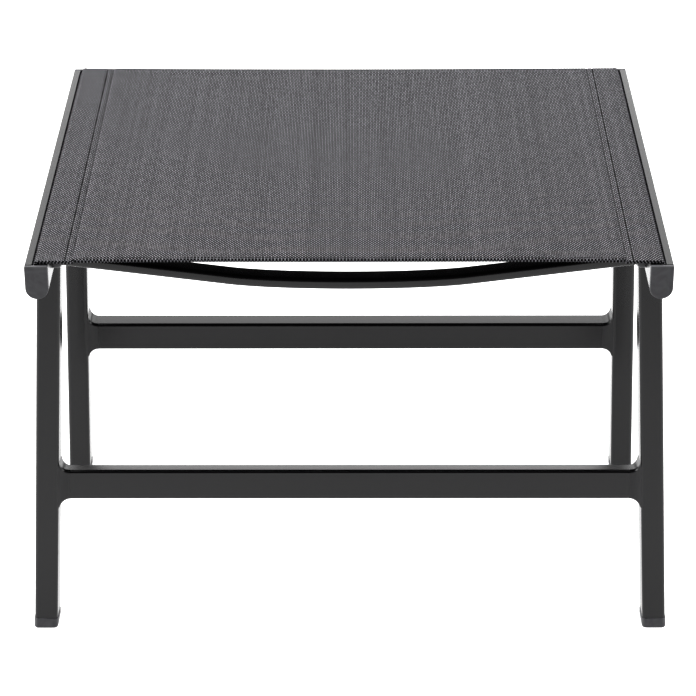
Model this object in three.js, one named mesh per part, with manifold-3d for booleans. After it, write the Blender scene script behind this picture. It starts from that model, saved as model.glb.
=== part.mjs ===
// Outdoor footstool: a woven sling held between two side rails on four splayed legs.
// Millimetres, +Z up, +X to the sitter's right, front towards -Y, origin on the floor under the middle.
import * as THREE from 'three';
import { mergeVertices } from 'three/addons/utils/BufferGeometryUtils.js';
import Module from 'manifold-3d';

const wasm = await Module();
wasm.setup();

// Overall sizes
const seatWidth = 580;       // over the outer faces of the side rails
const seatDepth = 480;       // over the end caps of a rail
const seatHeight = 420;      // floor to the flat top of the rails

// Stance of the two leg frames: the rear one leans less and stands nearer the middle
const frontLegSetback = 109; // end of the seat to the middle of a leg's top
const rearLegSetback = 122;
const frontFootLean = 40.5;  // how far a foot stands out to the front or rear of its leg's top
const rearFootLean = 8;
const frontFootSplay = 19;   // how far a foot stands out to the side of its leg's top
const rearFootSplay = 13.4;
const frontBarLevel = 149;   // floor to the middle of a crossbar
const rearBarLevel = 168.6;

// Fits
const clearance = 0.3;       // gap between pieces that seat on or in each other
const overrun = 8;           // how far a cutter reaches past what it cuts
const weldReach = 0.0001;    // corners closer than this are one corner

// Side rail, an extruded D section with a keder channel under its flat top
const railWidth = 21;
const railHeight = 32.5;
const railWall = 1.6;
const railCorner = 1.2;      // radius of the two top edges
const channelWall = 1.4;
const channelDrop = 6.2;     // flat top to the middle of the channel
const channelShift = 1.4;    // how far the channel lies outwards of the rail's middle
const slotHalf = 2.3;
const lipRound = 0.5;        // radius of the slot's two top edges
const topWall = 2;

// Sling, its pockets and the keder rods in them
const fabricThickness = 1.2;
const kederRadius = 2.6;
const frontMargin = 2.4;     // front cap plate to the sling's front corners
const rearMargin = 0.5;      // rear cap plate to the sling's rear corners
const slingSag = 1;
const pocketFlap = 33;       // slot to the end of the layer folded back under
const hemWidth = 14;
const hemLayers = 3;
const frontSetback = 2.3;    // sling's front corners to the ends of the front hem
const frontHollow = 3.4;     // how far the front hem is drawn in between its ends
const layerLap = 1.5;        // how far layers that are one cloth run into each other

// End cap, a plate over the end of the rail with a plug in its hollow
const capPlate = 4;
const capBevel = 0.9;
const capPlugLength = 14;

// Leg, a rounded rectangular tube
const legWidth = 22.4;
const legDepth = 29;
const legCorner = 3.6;
const tubeWall = 1.5;
const copeRise = 5;          // how far the leg's end reaches up round the rail's underside

// Foot glide
const glideHeight = 9.5;     // floor to the end of the leg, at its middle
const glideOverhang = 0.5;
const glideRound = 1.8;      // rounding of the sole's edge
const glidePlugLength = 18;

// Crossbar and its cast end fittings
const crossbarHeight = 30.4;
const frontBarDepth = 16.4;
const rearBarDepth = 22.5;
const crossbarCorner = 3;
const fittingFlare = 10;     // radius of the fitting's hollow corners against the leg
const fittingMargin = 1.2;   // leg's front face to the fitting's front face, at the leg
const spigotLength = 20;

// Spreader bar, bowed down under the sling, and its end plugs
const spreaderSetback = 56;  // end of the seat to the middle of the bar
const spreaderDrop = 16;     // flat top of the rail to the middle of the bar's end
const spreaderDepth = 20;
const spreaderHeight = 11;
const spreaderCorner = 3.6;
const spreaderBow = 24.6;    // how far the bar's middle lies below its ends
const spreaderKnee = 110;    // middle of the bar to where its straight arms start
const kneeHandle = 50;       // how gently the arms turn into the middle
const plugFlange = 7;
const plugRim = 2.8;         // how far the flange stands proud of the bar all round

// Bolts with domed heads and a six-sided socket
const boltRadius = 2.9;
const boltHeadRadius = 5.4;
const boltHeadHeight = 2.4;
const socketRadius = 2.3;
const socketDepth = 1.4;
const boltChamfer = 0.6;

// Fineness of the round stretches
const cornerSteps = 4;
const hollowSteps = 2;       // corners inside a tube and on the plugs that fill it
const roundSteps = 18;
const bevelSteps = 2;
const lipSteps = 2;
const boltSides = 14;
const socketSides = 6;
const bowSteps = 22;
const flareSteps = 6;
const sagSteps = 24;
const flapSteps = 5;
const foldSteps = 5;

// Shares
const flangeBoreShare = 0.85;   // bore depth as a share of the plug's flange
const domeShare = 0.45;         // height of the bolt head's straight rim
const kneeDropShare = 0.75;     // a cubic curve's middle as a share of the way to its handles
const roundShare = 1 - Math.SQRT1_2;   // middle of a quarter round as a share of its radius

// Sizes that follow
const channelRadius = kederRadius + fabricThickness + 2 * clearance;
const railHalf = railWidth / 2;
const railMiddle = seatWidth / 2 - railHalf;
const channelMiddle = railMiddle + channelShift;
const foldMiddle = channelMiddle - slotHalf + clearance + fabricThickness;   // between the slot's layers
const railLength = seatDepth - 2 * (capPlate + clearance);
const slingDepth = seatDepth - 2 * capPlate - frontMargin - rearMargin;
const slingMiddle = (frontMargin - rearMargin) / 2;
const sheetTop = clearance + 2 * fabricThickness;   // over the flat tops of the rails
const hemHalf = railMiddle - pocketFlap + layerLap;
const railUnderside = seatHeight - railHeight;
const stances = {
  front: stance(frontLegSetback, frontFootLean, frontFootSplay, frontBarLevel, frontBarDepth),
  rear: stance(rearLegSetback, rearFootLean, rearFootSplay, rearBarLevel, rearBarDepth),
};

// Lengths and angles of a leg frame, run along its leaning plane
function stance(setback, lean, splay, barLevel, barDepth) {
  const run = Math.hypot(railUnderside, lean);
  const leanAngle = Math.atan2(lean, railUnderside);
  const barRun = barLevel / Math.cos(leanAngle);
  return {
    run, leanAngle, barRun, barDepth,
    splayAngle: Math.atan2(splay, run),
    footX: railMiddle + splay,
    footY: seatDepth / 2 - setback + lean,
    legX: railMiddle + (splay * (run - barRun)) / run,   // middle of the leg at the crossbar
  };
}

const powderCoat = { color: 0x3d3e41, roughness: 0.42, metalness: 0.25 };
const sheetFabric = { color: 0x5c5c5e, roughness: 0.9, metalness: 0 };
const moulded = { color: 0x39393b, roughness: 0.6, metalness: 0 };
const zincSteel = { color: 0x77797c, roughness: 0.35, metalness: 0.9 };
const rodPlastic = { color: 0x1c1c1d, roughness: 0.7, metalness: 0 };

// Outlines

function arc(cx, cy, radius, from, to, steps) {
  const points = [];
  for (let i = 0; i <= steps; i += 1) {
    const angle = from + ((to - from) * i) / steps;
    points.push(new THREE.Vector2(cx + radius * Math.cos(angle), cy + radius * Math.sin(angle)));
  }
  return points;
}

function roundedRectangle(width, height, corner, steps = cornerSteps) {
  const x = width / 2 - corner;
  const y = height / 2 - corner;
  const quarter = Math.PI / 2;
  return [[x, y, 0], [-x, y, 1], [-x, -y, 2], [x, -y, 3]].flatMap(
    ([cx, cy, turn]) => arc(cx, cy, corner, turn * quarter, (turn + 1) * quarter, steps));
}

// D section with its flat top on y = 0, drawn in by inset
function dSection(inset) {
  const half = railHalf - inset;
  const corner = Math.max(railCorner - inset, clearance);
  const roundMiddle = railHalf - railHeight;
  return [
    ...arc(half - corner, -inset - corner, corner, 0, Math.PI / 2, cornerSteps),
    ...arc(corner - half, -inset - corner, corner, Math.PI / 2, Math.PI, cornerSteps),
    ...arc(0, roundMiddle, half, Math.PI, 2 * Math.PI, roundSteps),
  ];
}

// D section of the left rail, opened by the slot and the round channel below it
function railOutline() {
  const corner = railCorner;
  const roundMiddle = railHalf - railHeight;
  const gape = Math.asin(slotHalf / channelRadius);
  const start = Math.PI / 2 + gape;
  const lip = slotHalf + lipRound;
  return [
    ...arc(railHalf - corner, -corner, corner, 0, Math.PI / 2, cornerSteps),
    ...arc(lip - channelShift, -lipRound, lipRound, Math.PI / 2, Math.PI, lipSteps),
    ...arc(-channelShift, -channelDrop, channelRadius, start - 2 * gape, start - 2 * Math.PI, roundSteps),
    ...arc(-lip - channelShift, -lipRound, lipRound, 0, Math.PI / 2, lipSteps),
    ...arc(corner - railHalf, -corner, corner, Math.PI / 2, Math.PI, cornerSteps),
    ...arc(0, roundMiddle, railHalf, Math.PI, 2 * Math.PI, roundSteps),
  ];
}

// Hollow of the left rail, which wraps round the channel's wall
function chamberOutline() {
  const half = railHalf - railWall;
  const shell = channelRadius + channelWall;
  const roundMiddle = railHalf - railHeight;
  const topAngle = Math.asin((channelDrop - topWall) / shell);
  return [
    new THREE.Vector2(half, -topWall),
    ...arc(-channelShift, -channelDrop, shell, topAngle, -Math.PI - topAngle, roundSteps),
    new THREE.Vector2(-half, -topWall),
    ...arc(0, roundMiddle, half, Math.PI, 2 * Math.PI, roundSteps),
  ];
}

// Solids

function extrude(outline, depth, holes = [], bevel = 0) {
  const shape = new THREE.Shape(outline);
  shape.holes = holes.map((hole) => new THREE.Path(hole));
  const sizes = { bevelThickness: bevel, bevelSize: bevel, bevelOffset: -bevel, bevelSegments: bevelSteps };
  return new THREE.ExtrudeGeometry(shape, { depth, bevelEnabled: bevel > 0, ...sizes });
}

// A section drawn in x and z, run along y with its middle at the origin
function alongY(outline, length, holes = []) {
  return extrude(outline, length, holes).translate(0, 0, -length / 2).rotateX(Math.PI / 2);
}

// A closed skin over rings of points that all run the same way round
function loft(rings) {
  const count = rings[0].length;
  const positions = rings.flat().flatMap((p) => [p.x, p.y, p.z]);
  const indices = [];
  for (let r = 0; r + 1 < rings.length; r += 1) {
    for (let i = 0; i < count; i += 1) {
      const a = r * count + i;
      const b = r * count + ((i + 1) % count);
      indices.push(a, b, a + count, b, b + count, a + count);
    }
  }
  const last = (rings.length - 1) * count;
  for (let i = 1; i + 1 < count; i += 1) {
    indices.push(0, i + 1, i);
    indices.push(last, last + i, last + i + 1);
  }
  const geometry = new THREE.BufferGeometry();
  geometry.setAttribute('position', new THREE.Float32BufferAttribute(positions, 3));
  geometry.setIndex(indices);
  return geometry;
}

function rod(radius, length, sides) {
  return new THREE.CylinderGeometry(radius, radius, length, sides);
}

// Joins and cuts

function toSolid(geometry) {
  const bare = geometry.clone();
  bare.deleteAttribute('normal');
  bare.deleteAttribute('uv');
  const merged = mergeVertices(bare, weldReach);
  const vertProperties = new Float32Array(merged.attributes.position.array);
  const triVerts = new Uint32Array(merged.index.array);
  return new wasm.Manifold(new wasm.Mesh({ numProp: 3, vertProperties, triVerts }));
}

function toGeometry(solid) {
  const mesh = solid.getMesh();
  const geometry = new THREE.BufferGeometry();
  geometry.setAttribute('position', new THREE.Float32BufferAttribute(mesh.vertProperties, 3));
  geometry.setIndex(Array.from(mesh.triVerts));
  geometry.computeVertexNormals();
  return geometry;
}

function cut(geometry, cutters) {
  const solid = cutters.reduce((rest, cutter) => rest.subtract(toSolid(cutter)), toSolid(geometry));
  return toGeometry(solid);
}

function join(geometries) {
  const [first, ...others] = geometries.map(toSolid);
  return toGeometry(others.reduce((sum, solid) => sum.add(solid), first));
}

// Takes a shape placed in the room into the frame of the group that will hold it
function intoFrame(geometry, group) {
  return geometry.clone().applyMatrix4(group.matrixWorld.clone().invert());
}

function addPiece(parent, name, geometry, look) {
  const mesh = new THREE.Mesh(geometry, new THREE.MeshStandardMaterial(look));
  mesh.name = name;
  parent.add(mesh);
  return mesh;
}

function station(parent, x, y, z) {
  const group = new THREE.Group();
  group.position.set(x, y, z);
  parent.add(group);
  return group;
}

const sides = [['left', -1], ['right', 1]];
const ends = [['front', -1], ['rear', 1]];
const footstool = new THREE.Group();

// Side rails

function railBody(side) {
  const body = alongY(railOutline(), railLength, [chamberOutline()]);
  const bores = ends.map(([, end]) => {
    const bore = rod(boltRadius + clearance, railWidth + 2 * overrun, boltSides).rotateZ(Math.PI / 2);
    return bore.translate(0, end * (seatDepth / 2 - spreaderSetback), -spreaderDrop);
  });
  return cut(side < 0 ? body : body.rotateZ(Math.PI), bores);
}

for (const [sideName, side] of sides) {
  const place = station(footstool, side * railMiddle, 0, seatHeight);
  addPiece(place, `${sideName}_rail`, railBody(side), powderCoat);
}

// End caps of the rails

function capBody() {
  const shell = channelRadius + channelWall;
  const half = railHalf - railWall - clearance;
  const flat = -channelDrop - shell - clearance;
  const plug = [
    new THREE.Vector2(half, flat),
    new THREE.Vector2(-half, flat),
    ...arc(0, railHalf - railHeight, half, Math.PI, 2 * Math.PI, roundSteps),
  ];
  const plate = extrude(dSection(0), capPlate - 2 * capBevel, [], capBevel).translate(0, 0, capBevel);
  const plugBody = extrude(plug, capPlugLength + capPlate / 2).translate(0, 0, -capPlugLength);
  return join([plate, plugBody]).rotateX(Math.PI / 2);
}

for (const [endName, end] of ends) {
  for (const [sideName, side] of sides) {
    const place = station(footstool, side * railMiddle, end * (seatDepth / 2 - capPlate), seatHeight);
    place.rotation.z = end < 0 ? 0 : Math.PI;
    addPiece(place, `${endName}_${sideName}_rail_cap`, capBody(), moulded);
  }
}

// Sling: a sheet that dips between the rails, with a pocket round each keder rod

function sagAt(x) {
  const reach = railMiddle - railHalf;
  const share = Math.min(Math.abs(x) / reach, 1);
  return -slingSag * (1 - share * share);
}

// Middle of the sling to a hem's fold, which is drawn in evenly but turns out near the corners
function hemEdge(end, x) {
  const share = (x / hemHalf) ** 4;
  const drawnIn = end < 0 ? frontSetback + frontHollow * (1 - share) : 0;
  return slingDepth / 2 - drawnIn;
}

// Section of a hem in y and z: layers that lie in a round fold
function hemRing(end, x) {
  const radius = (hemLayers * fabricThickness) / 2;
  const middle = hemEdge(end, x) - radius;
  const level = sheetTop + sagAt(x) - radius;
  const inner = middle + radius - hemWidth;
  const outline = [
    ...arc(middle, level, radius, -Math.PI / 2, Math.PI / 2, foldSteps),
    new THREE.Vector2(inner, level + radius),
    new THREE.Vector2(inner, level - radius),
  ];
  const ring = outline.map((p) => new THREE.Vector3(x, end * p.x, p.y));
  return end > 0 ? ring : ring.reverse();
}

// Section of the single sheet in y and z, from one hem to the other
function sheetRing(x) {
  const front = hemWidth - hemEdge(-1, x) - layerLap;
  const rear = hemEdge(1, x) - hemWidth + layerLap;
  const top = sheetTop + sagAt(x);
  const corners = [[rear, top], [front, top], [front, top - fabricThickness], [rear, top - fabricThickness]];
  return corners.map(([y, z]) => new THREE.Vector3(x, y, z));
}

// Folded edge over the rail's inner half, from the slot to the end of the under layer
function flapSection(side) {
  const top = sheetTop;
  const outer = foldMiddle + fabricThickness;
  const inner = railMiddle - pocketFlap;
  const lip = railMiddle - railHalf;
  const run = Array.from({ length: flapSteps + 1 }, (_, i) => inner + ((lip - inner) * i) / flapSteps);
  const lower = run.map((x) => new THREE.Vector2(x, top - 2 * fabricThickness + sagAt(x)));
  const upper = run.map((x) => new THREE.Vector2(x, top + sagAt(x)));
  const turn = arc(foldMiddle, top - fabricThickness, fabricThickness, 0, Math.PI / 2, cornerSteps);
  const outline = [
    ...lower,
    new THREE.Vector2(foldMiddle - fabricThickness, clearance),
    new THREE.Vector2(foldMiddle - fabricThickness, -channelDrop),
    new THREE.Vector2(outer, -channelDrop),
    ...turn,
    ...upper.reverse(),
  ];
  return side > 0 ? outline : outline.map((p) => new THREE.Vector2(-p.x, p.y)).reverse();
}

function pocketRing(side) {
  const radius = kederRadius + clearance + fabricThickness;
  const ring = arc(side * channelMiddle, -channelDrop, radius, 0, 2 * Math.PI, roundSteps).slice(0, -1);
  return alongY(ring, slingDepth);
}

function pocketBore(side) {
  const radius = kederRadius + clearance;
  const hole = arc(side * channelMiddle, -channelDrop, radius, 0, 2 * Math.PI, roundSteps).slice(0, -1);
  return alongY(hole, slingDepth + 2 * overrun);
}

function slingBody() {
  const across = Array.from({ length: sagSteps + 1 }, (_, i) => -hemHalf + (2 * hemHalf * i) / sagSteps);
  const sheet = loft(across.map(sheetRing));
  const hems = ends.map(([, end]) => loft(across.map((x) => hemRing(end, x))));
  const pockets = sides.flatMap(([, side]) => [alongY(flapSection(side), slingDepth), pocketRing(side)]);
  return cut(join([sheet, ...hems, ...pockets]), sides.map(([, side]) => pocketBore(side)));
}

const slingPlace = station(footstool, 0, slingMiddle, seatHeight);
addPiece(slingPlace, 'sling', slingBody(), sheetFabric);

for (const [sideName, side] of sides) {
  const place = station(footstool, side * channelMiddle, slingMiddle, seatHeight - channelDrop);
  addPiece(place, `${sideName}_keder_rod`, rod(kederRadius, slingDepth, roundSteps), rodPlastic);
}

// Bolts, pointing along -X from a head that seats on x = 0

function boltBody(shankLength) {
  const rim = boltHeadHeight * domeShare;
  const crown = boltHeadRadius - socketRadius;
  const dome = arc(0, 0, 1, 0, Math.PI / 2, cornerSteps).map(
    (p) => new THREE.Vector2(socketRadius + p.x * crown, rim + p.y * (boltHeadHeight - rim)));
  const profile = [
    new THREE.Vector2(0, -shankLength),
    new THREE.Vector2(boltRadius - boltChamfer, -shankLength),
    new THREE.Vector2(boltRadius, boltChamfer - shankLength),
    new THREE.Vector2(boltRadius, 0),
    new THREE.Vector2(boltHeadRadius, 0),
    ...dome,
    new THREE.Vector2(0, boltHeadHeight),
  ];
  const body = new THREE.LatheGeometry(profile, boltSides);
  const socket = rod(socketRadius, 2 * socketDepth, socketSides).translate(0, boltHeadHeight, 0);
  return cut(body, [socket]).rotateZ(-Math.PI / 2);
}

// Spreader bars

function bowPath() {
  const half = railMiddle - railHalf - clearance - plugFlange - clearance;
  const turnDrop = kneeDropShare * kneeHandle;
  const slope = spreaderBow / (half - spreaderKnee + turnDrop);
  const kneeZ = -slope * (half - spreaderKnee);
  const handleZ = kneeZ - slope * kneeHandle;
  const path = new THREE.CurvePath();
  const knee = (side) => new THREE.Vector3(side * spreaderKnee, 0, kneeZ);
  const handle = (side) => new THREE.Vector3(side * (spreaderKnee - kneeHandle), 0, handleZ);
  path.add(new THREE.LineCurve3(new THREE.Vector3(-half, 0, 0), knee(-1)));
  path.add(new THREE.CubicBezierCurve3(knee(-1), handle(-1), handle(1), knee(1)));
  path.add(new THREE.LineCurve3(knee(1), new THREE.Vector3(half, 0, 0)));
  return { path, half, slope };
}

// Outline of a tube's inside, all walls drawn in by inset from the outside
function hollowOf(width, height, corner, inset) {
  return roundedRectangle(width - 2 * inset, height - 2 * inset, corner - inset, hollowSteps);
}

function spreaderBody() {
  const section = [spreaderDepth, spreaderHeight, spreaderCorner];
  const shape = new THREE.Shape(roundedRectangle(...section));
  shape.holes.push(new THREE.Path(hollowOf(...section, tubeWall)));
  const { path } = bowPath();
  return new THREE.ExtrudeGeometry(shape, { steps: bowSteps, extrudePath: path, bevelEnabled: false });
}

// Ring of a rounded rectangle, depth by height, square to the bar's arm at a run along it
function armRing(depth, height, corner, run, slope) {
  const along = new THREE.Vector3(-1, 0, -slope).normalize();
  const up = new THREE.Vector3(-along.z, 0, along.x).multiplyScalar(-1);
  return roundedRectangle(depth, height, corner).map(
    (p) => new THREE.Vector3(0, p.x, 0).addScaledVector(up, p.y).addScaledVector(along, run));
}

// Plug for the right end of the bar: its flange meets the rail's inner wall
function plugBody() {
  const { slope } = bowPath();
  const wall = 2 * (tubeWall + clearance);
  const rim = 2 * plugRim;
  const flangeCorner = spreaderCorner + plugRim;
  const wallX = plugFlange + clearance;
  const outer = roundedRectangle(spreaderDepth + rim, spreaderHeight + rim, flangeCorner);
  const flat = (points, x) => points.map((p) => new THREE.Vector3(x, p.x, p.y));
  const lip = [spreaderDepth + plugRim, spreaderHeight + plugRim, spreaderCorner + plugRim / 2];
  const spigot = [spreaderDepth - wall, spreaderHeight - wall, spreaderCorner - wall / 2];
  const rings = [
    flat(outer, wallX),
    flat(outer, wallX / 2),
    armRing(...lip, -clearance, slope),
    armRing(...spigot, -clearance, slope),
    armRing(...spigot, spigotLength, slope),
  ];
  const bore = rod(boltRadius + clearance, 2 * plugFlange * flangeBoreShare, boltSides);
  return cut(loft(rings.reverse()), [bore.rotateZ(Math.PI / 2).translate(wallX, 0, 0)]);
}

for (const [endName, end] of ends) {
  const barY = end * (seatDepth / 2 - spreaderSetback);
  const place = station(footstool, 0, barY, seatHeight - spreaderDrop);
  addPiece(place, `${endName}_spreader_bar`, spreaderBody(), powderCoat);
  for (const [sideName, side] of sides) {
    const plugPlace = station(place, side * bowPath().half, 0, 0);
    plugPlace.rotation.z = side > 0 ? 0 : Math.PI;
    addPiece(plugPlace, `${endName}_${sideName}_spreader_plug`, plugBody(), moulded);
    const boltPlace = station(place, side * (seatWidth / 2 + clearance), 0, 0);
    boltPlace.rotation.z = side > 0 ? 0 : Math.PI;
    const shank = railWidth + clearance + plugFlange * flangeBoreShare;
    addPiece(boltPlace, `${endName}_${sideName}_spreader_bolt`, boltBody(shank), zincSteel);
  }
}

// Leg frames: two legs and a crossbar in one leaning plane

function legBody({ run: frameRun, leanAngle, splayAngle }, place) {
  const section = [legWidth, legDepth, legCorner];
  const outer = roundedRectangle(...section);
  const inner = hollowOf(...section, tubeWall);
  const foot = glideHeight / Math.cos(leanAngle);
  const run = frameRun / Math.cos(splayAngle);
  const tube = extrude(outer, run + copeRise - foot, [inner]).translate(0, 0, foot);
  const railSpace = alongY(dSection(-clearance), seatDepth);
  const rails = sides.map(([, side]) => railSpace.clone().translate(side * railMiddle, 0, seatHeight));
  return cut(tube, rails.map((rail) => intoFrame(rail, place)));
}

// Foot glide: a plug in the tube and a sole that is level on the floor
function glideBody({ leanAngle }, place) {
  const foot = glideHeight / Math.cos(leanAngle);
  const wall = 2 * (tubeWall + clearance);
  const plug = roundedRectangle(legWidth - wall, legDepth - wall, legCorner - tubeWall);
  const rim = 2 * glideOverhang;
  const collar = roundedRectangle(legWidth + rim, legDepth + rim, legCorner + glideOverhang);
  const square = (points, z) => points.map((p) => new THREE.Vector3(p.x, p.y, z));
  const axis = new THREE.Vector3(0, 0, 1).transformDirection(place.matrixWorld);
  const intoLeg = place.matrixWorld.clone().invert();
  const level = (inset, height) => {
    const points = roundedRectangle(legWidth + rim - 2 * inset, legDepth + rim - 2 * inset, legCorner);
    return points.map((p) => {
      const low = new THREE.Vector3(p.x, p.y, 0).applyMatrix4(place.matrixWorld);
      return low.addScaledVector(axis, (height - low.z) / axis.z).applyMatrix4(intoLeg);
    });
  };
  const midRound = glideRound * roundShare;
  const rings = [
    level(glideRound, 0),
    level(midRound, midRound),
    level(0, glideRound),
    square(collar, foot - clearance),
    square(plug, foot - clearance),
    square(plug, foot + glidePlugLength),
  ];
  return toGeometry(toSolid(loft(rings)));
}

// Crossbar fitting for the right leg: flares from the bar's section to the leg's face
function fittingBody({ legX, splayAngle, barDepth }, barEnd) {
  const faceX = legX - legWidth / 2 / Math.cos(splayAngle) - clearance;
  const faceAt = (z) => faceX - z * Math.tan(splayAngle);
  const deep = legDepth / 2 - fittingMargin - barDepth / 2;
  const rings = [];
  for (let i = 0; i <= flareSteps; i += 1) {
    const turn = (Math.PI / 2) * (i / flareSteps);
    const out = 1 - Math.sin(turn);
    const along = 1 - Math.cos(turn);
    const depth = barDepth + 2 * deep * out;
    const height = crossbarHeight + 2 * fittingFlare * out;
    rings.push(roundedRectangle(depth, height, crossbarCorner).map((p) => {
      const x = faceAt(p.y) + (barEnd - faceAt(p.y)) * along;
      return new THREE.Vector3(x, p.x, p.y);
    }));
  }
  const wall = 2 * (tubeWall + clearance);
  const spigotCorner = crossbarCorner - tubeWall;
  const spigot = roundedRectangle(barDepth - wall, crossbarHeight - wall, spigotCorner);
  rings.push(spigot.map((p) => new THREE.Vector3(barEnd, p.x, p.y)));
  rings.push(spigot.map((p) => new THREE.Vector3(barEnd - spigotLength, p.x, p.y)));
  return toGeometry(toSolid(loft(rings.reverse())));
}

function crossbarBody({ barDepth }, halfLength) {
  const section = [barDepth, crossbarHeight, crossbarCorner];
  const tube = extrude(roundedRectangle(...section), 2 * halfLength, [hollowOf(...section, tubeWall)]);
  return tube.translate(0, 0, -halfLength).rotateX(Math.PI / 2).rotateZ(Math.PI / 2);
}

for (const [endName, end] of ends) {
  const turntable = new THREE.Group();
  turntable.rotation.z = end < 0 ? 0 : Math.PI;
  footstool.add(turntable);
  const own = stances[endName];
  const frame = station(turntable, 0, -own.footY, 0);
  frame.rotation.x = -own.leanAngle;
  const barEnd = own.legX - legWidth / 2 - clearance - fittingFlare;
  const barPlace = station(frame, 0, 0, own.barRun);
  addPiece(barPlace, `${endName}_crossbar`, crossbarBody(own, barEnd - clearance), powderCoat);
  for (const [, turned] of sides) {
    const sideName = turned * end < 0 ? 'right' : 'left';
    const legPlace = station(frame, turned * own.footX, 0, 0);
    legPlace.rotation.y = -turned * own.splayAngle;
    footstool.updateMatrixWorld(true);
    addPiece(legPlace, `${endName}_${sideName}_leg`, legBody(own, legPlace), powderCoat);
    addPiece(legPlace, `${endName}_${sideName}_foot_glide`, glideBody(own, legPlace), moulded);
    const fittingPlace = station(barPlace, 0, 0, 0);
    fittingPlace.rotation.z = turned > 0 ? 0 : Math.PI;
    const fitting = fittingBody(own, barEnd);
    addPiece(fittingPlace, `${endName}_${sideName}_crossbar_fitting`, fitting, powderCoat);
  }
}

export default footstool;
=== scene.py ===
# %% [markdown]
# # An outdoor footstool: powder-coated aluminium and a woven sling
# Two welded side frames, two crossbars and two bowed spreader bars carry one tensioned cloth.
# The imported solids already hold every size, in metres, with the front of the stool towards -Y. Most of
# the metal and all of the plastic keep those shapes here under finer shading. The bowed bars, the cloth,
# its seams and the weld beads are made in this file.

# %% Load the solids
import math
from itertools import accumulate
import bmesh
import bpy
from mathutils import Matrix, Vector, noise


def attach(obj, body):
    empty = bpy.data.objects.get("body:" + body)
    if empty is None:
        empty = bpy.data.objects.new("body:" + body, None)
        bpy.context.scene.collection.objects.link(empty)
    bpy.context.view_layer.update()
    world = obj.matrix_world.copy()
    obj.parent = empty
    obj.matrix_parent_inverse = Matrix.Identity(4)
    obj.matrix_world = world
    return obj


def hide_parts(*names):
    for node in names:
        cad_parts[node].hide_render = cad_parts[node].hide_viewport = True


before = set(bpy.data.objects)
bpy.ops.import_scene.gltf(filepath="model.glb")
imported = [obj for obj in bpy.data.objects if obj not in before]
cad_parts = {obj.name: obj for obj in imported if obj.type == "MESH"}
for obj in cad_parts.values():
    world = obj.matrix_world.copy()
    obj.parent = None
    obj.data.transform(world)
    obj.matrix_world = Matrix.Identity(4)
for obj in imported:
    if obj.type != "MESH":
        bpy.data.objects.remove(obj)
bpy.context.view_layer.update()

# %% [markdown]
# ## Three small helpers
# Product colours are picked on a screen, so they come as hex codes, while the renderer mixes light in
# linear numbers: one function turns the first into the second. Node trees are long lists of the same
# act, adding a node, setting it and wiring it, so one function does all three. Scales of patterns
# are written as the real size of one repeat in millimetres. The stool's own lengths are in millimetres
# too, and MM turns them into metres.

# %% Colour, nodes and scales
MM = 0.001


def colour(code):
    """A hex colour as a screen shows it, as the linear values that light is mixed in."""
    parts = [int(code[i:i + 2], 16) / 255 for i in (1, 3, 5)]
    return tuple(c / 12.92 if c <= 0.04045 else ((c + 0.055) / 1.055) ** 2.4 for c in parts) + (1.0,)


def add(tree, kind, feeds=None, **settings):
    """Adds one node; feeds gives each input a value or the output that is wired to it."""
    node = tree.nodes.new(kind)
    for name, value in settings.items():
        setattr(node, name, value)
    for socket, value in (feeds or {}).items():
        if isinstance(value, bpy.types.NodeSocket):
            tree.links.new(value, node.inputs[socket])
        else:
            node.inputs[socket].default_value = value
    return node


def repeats(size_mm):
    """How often a pattern repeats in a metre when one repeat is size_mm long."""
    return 1 / (size_mm * MM)


print("mid grey is", round(colour("#808080")[0], 3), "and a 2 mm pattern comes", repeats(2), "times in 1 m")

# %% [markdown]
# ## Camera
# The photograph was taken from 1.44 m above the floor and 2.35 m in front of the stool's middle, through
# a long lens. Fitting the straight edges of the frame gave the eye's place, its turn and the focal
# length in pixels of a 696 pixel square. A shifted lens could fake the view, but the other views would
# keep the shift, so the camera is simply put where the photographer's was.

# %% Camera
IMAGE_SIDE = 696
FOCAL_PIXELS = 2628.95
EYE = Vector((6.55, -2349.76, 1437.59)) * MM
PITCH, YAW, ROLL = 0.4803, -0.0036, 0.0023

ahead = Vector((math.sin(YAW) * math.cos(PITCH), math.cos(YAW) * math.cos(PITCH), -math.sin(PITCH)))
level = Vector((math.cos(YAW), -math.sin(YAW), 0))
down = ahead.cross(level)
right_axis = level * math.cos(ROLL) + down * math.sin(ROLL)
up_axis = level * math.sin(ROLL) - down * math.cos(ROLL)

camera_data = bpy.data.cameras.new("photographer")
camera_data.sensor_width = 36
camera_data.lens = FOCAL_PIXELS * camera_data.sensor_width / IMAGE_SIDE
camera_data.clip_end = 40
camera = bpy.data.objects.new("photographer", camera_data)
bpy.context.scene.collection.objects.link(camera)
camera.matrix_world = Matrix.Translation(EYE) @ Matrix((right_axis, up_axis, -ahead)).transposed().to_4x4()
bpy.context.scene.camera = camera
print("lens", round(camera_data.lens, 1), "mm, looking down", round(math.degrees(PITCH), 1), "degrees")

# %% [markdown]
# ## Studio
# The photograph has no shadow on the floor and none behind, as on a white acrylic light table, with large
# soft boxes above, behind and at both sides, so that the tops of the bars shine, the cloth is bright
# where it rolls into the rails, and faces towards the camera stay dark. The table is a sheet that glows
# a little by itself. It shows in glossy paint but is kept off matt surfaces, because the underside of
# the seat is black in the photograph. Area lights stand for the boxes, each given by the brightness of
# its panel, which stays the same when the panel is made larger. The photograph is printed with deep
# blacks, so the picture gets a plain contrast curve too.

# %% Lights and floor
TABLE_REACH = 30    # metres from the middle to an edge
ROOM_GLOW = 0.12


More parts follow.
